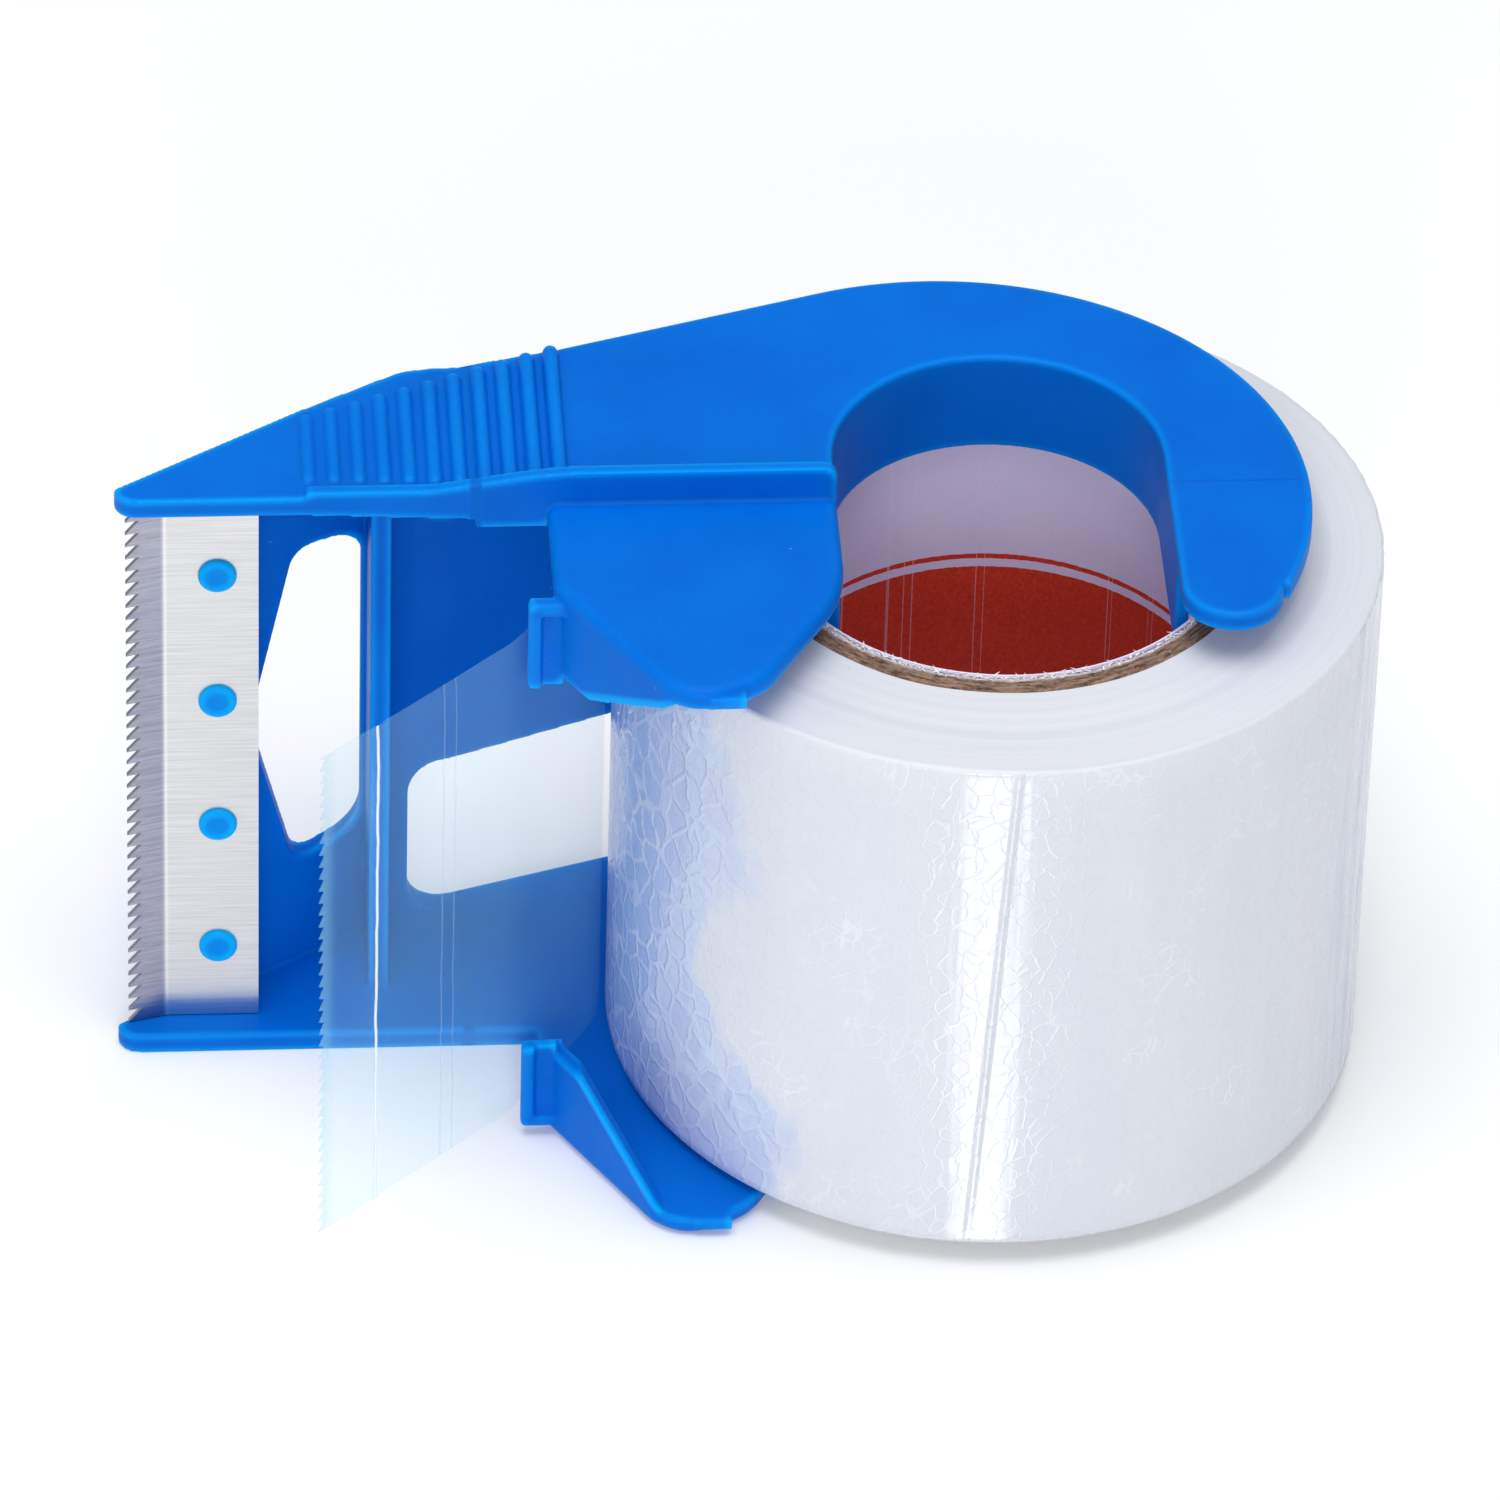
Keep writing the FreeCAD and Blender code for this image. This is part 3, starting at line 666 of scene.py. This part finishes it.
SEGMENTS = 480
END_STEPS, EDGE_STEPS, SIDE_STEPS, BASE_STEPS = 40, 5, 60, 8
END_DROP = 0.12 * MM
EDGE_ROUND = 0.4 * MM
CORE_STEPS = 14
FIBRES = 900


def ripple(x, y, z, size):
    """Smooth unevenness of about this size, from a place in the noise."""
    return noise.noise(Vector((x, y, z))) * size


def roll_side_radius(angle, height):
    """The outside radius: even at the front, a little loose at the right-hand side."""
    even = ripple(math.cos(angle) * 6, math.sin(angle) * 6, height * 60, 0.035 * MM)
    loose = max(0.0, math.cos(angle - 0.15)) ** 3
    fold = ripple(math.cos(angle) * 22, math.sin(angle) * 22, height * 35 + 9, 0.13 * MM)
    return ROLL_R - 0.1 * MM + even + loose * fold


def end_height(angle, radius):
    """The height of the roll's upper end, where the turns don't line up exactly."""
    turns = ripple(radius * 900, 0, 0, 0.05 * MM)
    tilt = ripple(math.cos(angle) * 3, math.sin(angle) * 3, radius * 200, 0.06 * MM)
    return TOP - END_DROP + turns + tilt


def roll_profile(angle):
    """Radius and height from the upper end's inner edge, out, round the edge, down the side and back in."""
    points = []
    for i in range(END_STEPS + 1):
        radius = CORE_R + (ROLL_R - 0.45 * MM - CORE_R) * i / END_STEPS
        points.append((radius, end_height(angle, radius)))
    for i in range(EDGE_STEPS):
        turn = math.pi / 2 * (i + 1) / (EDGE_STEPS + 1)
        radius = roll_side_radius(angle, TOP) - EDGE_ROUND * (1 - math.sin(turn))
        points.append((radius, TOP - END_DROP - EDGE_ROUND * (1 - math.cos(turn))))
    for i in range(SIDE_STEPS + 1):
        height = TOP - 0.55 * MM - (TOP - BOTTOM - 0.9 * MM) * i / SIDE_STEPS
        points.append((roll_side_radius(angle, height), height))
    for i in range(BASE_STEPS + 1):
        radius = ROLL_R - EDGE_ROUND - (ROLL_R - EDGE_ROUND - CORE_R) * i / BASE_STEPS
        points.append((radius, BOTTOM))
    return points


def tape_roll(side, ends):
    """The wound tape, with one material on its side and another on its ends."""
    rows = []
    for i in range(SEGMENTS):
        angle = 2 * math.pi * i / SEGMENTS
        rows.append([around(radius, angle, height) for radius, height in roll_profile(angle)])
    mesh = grid_mesh("wound_tape", rows, closed_rows=True, closed_columns=True)
    piece = new_object("wound_tape", mesh, side, ends)
    for face in mesh.polygons:
        face.material_index = 1 if abs(face.normal.z) > 0.75 else 0
    outward(mesh)
    smooth(mesh, 50)
    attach(piece, "roll")
    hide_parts("tape_roll")


def outward(mesh):
    """Turn every face of a closed mesh to the outside."""
    shell = bmesh.new()
    shell.from_mesh(mesh)
    bmesh.ops.recalc_face_normals(shell, faces=shell.faces)
    shell.to_mesh(mesh)
    shell.free()


def core(board):
    """The board tube, its end worn rough and its inner edge frayed."""
    rows = []
    inner = BORE_R + 0.16 * MM
    for i in range(SEGMENTS):
        angle = 2 * math.pi * i / SEGMENTS
        x, y = math.cos(angle) * 40, math.sin(angle) * 40
        row = []
        for j in range(CORE_STEPS + 1):
            share = j / CORE_STEPS
            fine = ripple(x * 2, y * 2, share * 9, 0.16 * MM)
            broad = ripple(x * 0.3, y * 0.3, share * 3, 0.12 * MM)
            worn = 0.12 * MM * abs(2 * share - 1) ** 3
            row.append(around(inner + (CORE_R - inner) * share, angle, TOP - 0.1 * MM + fine + broad - worn))
        row += [around(CORE_R, angle, BOTTOM), around(inner, angle, BOTTOM)]
        rows.append(row)
    mesh = grid_mesh("board_core", rows, closed_rows=True, closed_columns=True)
    outward(mesh)
    smooth(mesh, 50)
    piece = new_object("board_core", mesh, board)
    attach(piece, "roll")
    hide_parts("tape_core")


def fibres(paper):
    """Torn paper fibres along the core's upper inner edge."""
    draw = random.Random(7)
    points, faces = [], []
    for _ in range(FIBRES):
        angle = draw.uniform(0, 2 * math.pi)
        radius = BORE_R + draw.uniform(-0.02, 0.45) * MM
        height = TOP - draw.uniform(0.02, 0.3) * MM
        length = draw.uniform(0.25, 0.8) * MM
        heading = draw.gauss(0, 0.7)
        along = Vector((-math.sin(angle + heading), math.cos(angle + heading), draw.uniform(-0.25, 0.5)))
        if draw.random() < 0.5:
            along.x, along.y = -along.x, -along.y
        start = around(radius, angle, height)
        side = along.cross(Vector((0, 0, 1))).normalized() * draw.uniform(0.03, 0.08) * MM
        lift = Vector((0, 0, draw.uniform(0.0, 0.12) * MM))
        middle = start + along * length * 0.5 + lift
        end = start + along * length
        first = len(points)
        points += [start - side, start + side, middle + side * 0.8, middle - side * 0.8, end]
        faces += [(first, first + 1, first + 2, first + 3), (first + 3, first + 2, first + 4)]
    mesh = bpy.data.meshes.new("core_fibres")
    mesh.from_pydata(points, [], faces)
    mesh.update()
    piece = new_object("core_fibres", mesh, paper)
    thick = piece.modifiers.new("thick", "SOLIDIFY")
    thick.thickness = 0.03 * MM
    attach(piece, "roll")


# Plan of the tape's free end, from the roll to the cut edge, with the radius of each bend
LEADER_PATH = [((-11.62, 2.4), 0), ((-11.82, -0.6), 8), ((-20.02, -13.2), 12), ((-36.52, -28.2), 0)]
LEADER_TEETH = 40
ROWS_PER_TOOTH = 8
TOOTH_DEPTH = 0.8 * MM
# Each tooth's long flank takes this share of it
LONG_FLANK = 0.75
# The teeth pull on this many plan points before the cut edge
PULLED = 5
FILM_T = 0.05 * MM
ARC_STEPS = 24


def bent_line(path, step):
    """Plan points of straight runs joined by arcs, evenly spaced, and the line's length, in metres."""
    points = [Vector(p) * MM for p, _ in path]
    line = [points[0]]
    for i in range(1, len(points) - 1):
        radius = path[i][1] * MM
        back = (points[i - 1] - points[i]).normalized()
        ahead = (points[i + 1] - points[i]).normalized()
        half = back.angle(ahead) / 2
        reach = radius / math.tan(half)
        centre = points[i] + (back + ahead).normalized() * radius / math.sin(half)
        start = points[i] + back * reach - centre
        turn = start.angle_signed(points[i] + ahead * reach - centre)
        for k in range(ARC_STEPS + 1):
            line.append(centre + Matrix.Rotation(-turn * k / ARC_STEPS, 2) @ start)
    line.append(points[-1])
    lengths = [0.0]
    for a, b in zip(line, line[1:]):
        lengths.append(lengths[-1] + (b - a).length)
    total = lengths[-1]
    steps = int(total / step)
    spaced, at = [], 0
    for k in range(steps + 1):
        goal = total * k / steps
        while at < len(line) - 2 and lengths[at + 1] < goal:
            at += 1
        share = (goal - lengths[at]) / max(lengths[at + 1] - lengths[at], 1e-12)
        spaced.append(line[at].lerp(line[at + 1], min(share, 1.0)))
    return spaced, total


def tooth(j):
    """How far the cut edge steps back at this row: a long flank, then a short one."""
    phase = (j % ROWS_PER_TOOTH) / ROWS_PER_TOOTH
    return TOOTH_DEPTH * (phase if phase < LONG_FLANK else (1 - phase) * 3)


def leader_row(line, height, bite):
    """The film's plan line at this height, with its waves, its crease and the cut edge pulled back."""
    row = []
    last = len(line) - 1
    for k, plan in enumerate(line):
        pull = bite * max(0.0, 1 - (last - k) / PULLED)
        ahead = line[min(k + 1, last)] - line[max(k - 1, 0)]
        ahead.normalize()
        side = Vector((-ahead.y, ahead.x))
        share = k / last
        wave = ripple(share * 4, height * 45, 3, 0.28 * MM) * share
        fold = 0.16 * MM * math.exp(-(((plan.x - CREASE_X) / (0.35 * MM)) ** 2))
        spot = plan - ahead * pull + side * (wave + fold)
        row.append((spot.x, spot.y, height))
    return row


def leader(film):
    """The free end of the tape: a film cut by saw teeth, with a slight crease."""
    line, length = bent_line(LEADER_PATH, 0.4 * MM)
    last = LEADER_TEETH * ROWS_PER_TOOTH
    rows = [leader_row(line, BOTTOM + (TOP - BOTTOM) * j / last, tooth(j)) for j in range(last + 1)]
    mesh = grid_mesh("tape_end", rows)
    smooth(mesh, 60)
    piece = new_object("tape_end", mesh, film)
    thick = piece.modifiers.new("thick", "SOLIDIFY")
    thick.thickness = FILM_T
    thick.offset = 0
    piece.visible_shadow = False
    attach(piece, "frame")
    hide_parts("tape_leader")


# ---------------------------------------------------------------- steel and posts

def blade(steel):
    """The CAD blade in brushed steel, with its edges slightly worn."""
    node = frame["nodes"]["cutter_blade"]
    node.data.materials.clear()
    node.data.materials.append(steel)
    worn = node.modifiers.new("worn", "BEVEL")
    worn.width = 0.035 * MM
    worn.segments = 2
    worn.limit_method = "ANGLE"
    worn.angle_limit = math.radians(40)


def paint(node, material):
    """Give a CAD node this material alone."""
    mesh = frame["nodes"][node].data
    mesh.materials.clear()
    mesh.materials.append(material)


# ---------------------------------------------------------------- stage

# How far in front of the roll the glow starts and ends, and half its width there
GLOW_ENDS = ((1 * MM, 3.4 * MM), (80 * MM, 18 * MM))
GLOW_EDGE = 0.6
GLOW_MIDDLE = 6.0
FLOOR_REACH = 3


def softbox(name, at, size, power):
    """A rectangular light aimed at the middle of the object."""
    data = bpy.data.lights.new(name, "AREA")
    data.shape = "RECTANGLE"
    data.size, data.size_y = size
    data.energy = power
    lamp = bpy.data.objects.new(name, data)
    bpy.context.scene.collection.objects.link(lamp)
    lamp.location = at
    aim = (cad_low + cad_high) / 2 - Vector(at)
    lamp.rotation_euler = aim.to_track_quat("-Z", "Y").to_euler()
    lamp.visible_camera = False


def table_glow():
    """A bright patch of the table in front of the roll, which only shows as the streak in the glossy film."""
    view = math.radians(AZIMUTH)
    ahead = Vector((math.sin(view), -math.cos(view), 0))
    side = Vector((math.cos(view), math.sin(view), 0))
    start = AXIS + Vector((0, 0, cad_low.z + 0.1 * MM))
    shares = (-1.0, -0.55, 0.0, 0.55, 1.0)
    rows = []
    for gap, half in GLOW_ENDS:
        rows.append([start + ahead * (ROLL_R + gap) + side * half * share for share in shares])
    mesh = grid_mesh("table_glow", rows)
    fade = mesh.attributes.new("fade", "FLOAT", "POINT")
    fade.data.foreach_set("value", [1.0 - abs(share) for _ in rows for share in shares])
    patch = new_object("table_glow", mesh, fading_glow())
    patch.visible_camera = False
    patch.visible_diffuse = False
    patch.visible_shadow = False


def fading_glow():
    """Light that weakens towards the edges where the mesh's fade attribute is 0."""
    made = bpy.data.materials.new("table_glow")
    made.use_nodes = True
    tree = made.node_tree
    share = add(tree, "ShaderNodeAttribute", attribute_name="fade").outputs["Fac"]
    brighter = calc(tree, "MULTIPLY", spread(tree, share, 0.0, 0.45), GLOW_MIDDLE - GLOW_EDGE)
    glow = add(tree, "ShaderNodeEmission", {"Strength": calc(tree, "ADD", brighter, GLOW_EDGE)})
    tree.links.new(glow.outputs[0], tree.nodes["Material Output"].inputs["Surface"])
    return made


def studio_dome():
    """Soft grey light from all round, brighter from above."""
    world = bpy.data.worlds.new("studio")
    bpy.context.scene.world = world
    world.use_nodes = True
    tree = world.node_tree
    direction = add(tree, "ShaderNodeTexCoord").outputs["Generated"]
    up = add(tree, "ShaderNodeSeparateXYZ", {0: direction}).outputs[2]
    dome = mix_colours(tree, spread(tree, up, 0.0, 0.8), (0.20, 0.21, 0.23, 1), (0.46, 0.475, 0.5, 1))
    tree.links.new(dome, tree.nodes["Background"].inputs["Color"])


def pale_floor():
    """The white table, just under the object."""
    made, tree, shader, place = new_material("pale_floor", Roughness=0.7)
    shader.inputs["Specular IOR Level"].default_value = 0.1
    tone = noise_at(tree, place, 6, 2.0)
    base = mix_colours(tree, tone, (0.9, 0.9, 0.9, 1), (0.93, 0.93, 0.93, 1))
    tree.links.new(base, shader.inputs["Base Color"])
    shader.inputs["Emission Color"].default_value = (1, 1, 1, 1)
    shader.inputs["Emission Strength"].default_value = 0.09
    ends = (-FLOOR_REACH, FLOOR_REACH)
    rows = [[(x, y, cad_low.z - 0.05 * MM) for x in ends] for y in ends]
    new_object("floor", grid_mesh("floor", rows), made)


def stage():
    """The light, the table and the colour view of the photo's studio."""
    studio_dome()
    pale_floor()
    table_glow()
    front = math.radians(AZIMUTH)
    softbox("front_softbox", (math.sin(front) * 0.8, -math.cos(front) * 0.8, 0.34), (0.26, 0.34), 2.0)
    softbox("top_softbox", (0.0, -0.1, 1.05), (0.8, 0.8), 7.0)
    softbox("left_softbox", (-0.9, -0.25, 0.45), (0.5, 0.5), 1.0)
    bpy.context.scene.view_settings.view_transform = "Standard"


def camera():
    """The photo's camera, as it was fitted to the roll."""
    data = bpy.data.cameras.new("camera")
    data.lens = LENS
    data.sensor_width = 36
    data.clip_start, data.clip_end = 0.1, 10
    made = bpy.data.objects.new("camera", data)
    bpy.context.scene.collection.objects.link(made)
    level = Euler((math.radians(90 - ELEVATION), 0, math.radians(AZIMUTH))).to_matrix()
    turned = level @ Matrix.Rotation(math.radians(ROLL), 3, "Z")
    made.matrix_world = Matrix.Translation(CAMERA_AT) @ turned.to_4x4()
    bpy.context.scene.camera = made


# ---------------------------------------------------------------- the scene

camera()
stage()
body_blue = blue_plastic("blue_moulding", rgb(0, 109, 212), rgb(0, 101, 203))
# painted light: the posts get a lighter copy of the body's blue, standing in for the light on their
# front-facing heads
painted_lighter_post_blue = blue_plastic("blue_posts_painted_lighter", rgb(0, 140, 232), rgb(0, 134, 226))
moulding(body_blue)
paint("blade_posts", painted_lighter_post_blue)
blade(brushed_steel())
paint("core_liner", liner_paper())
tape_roll(film_side(), film_edge())
core(core_board())
fibres(fibre_paper())
leader(clear_film())
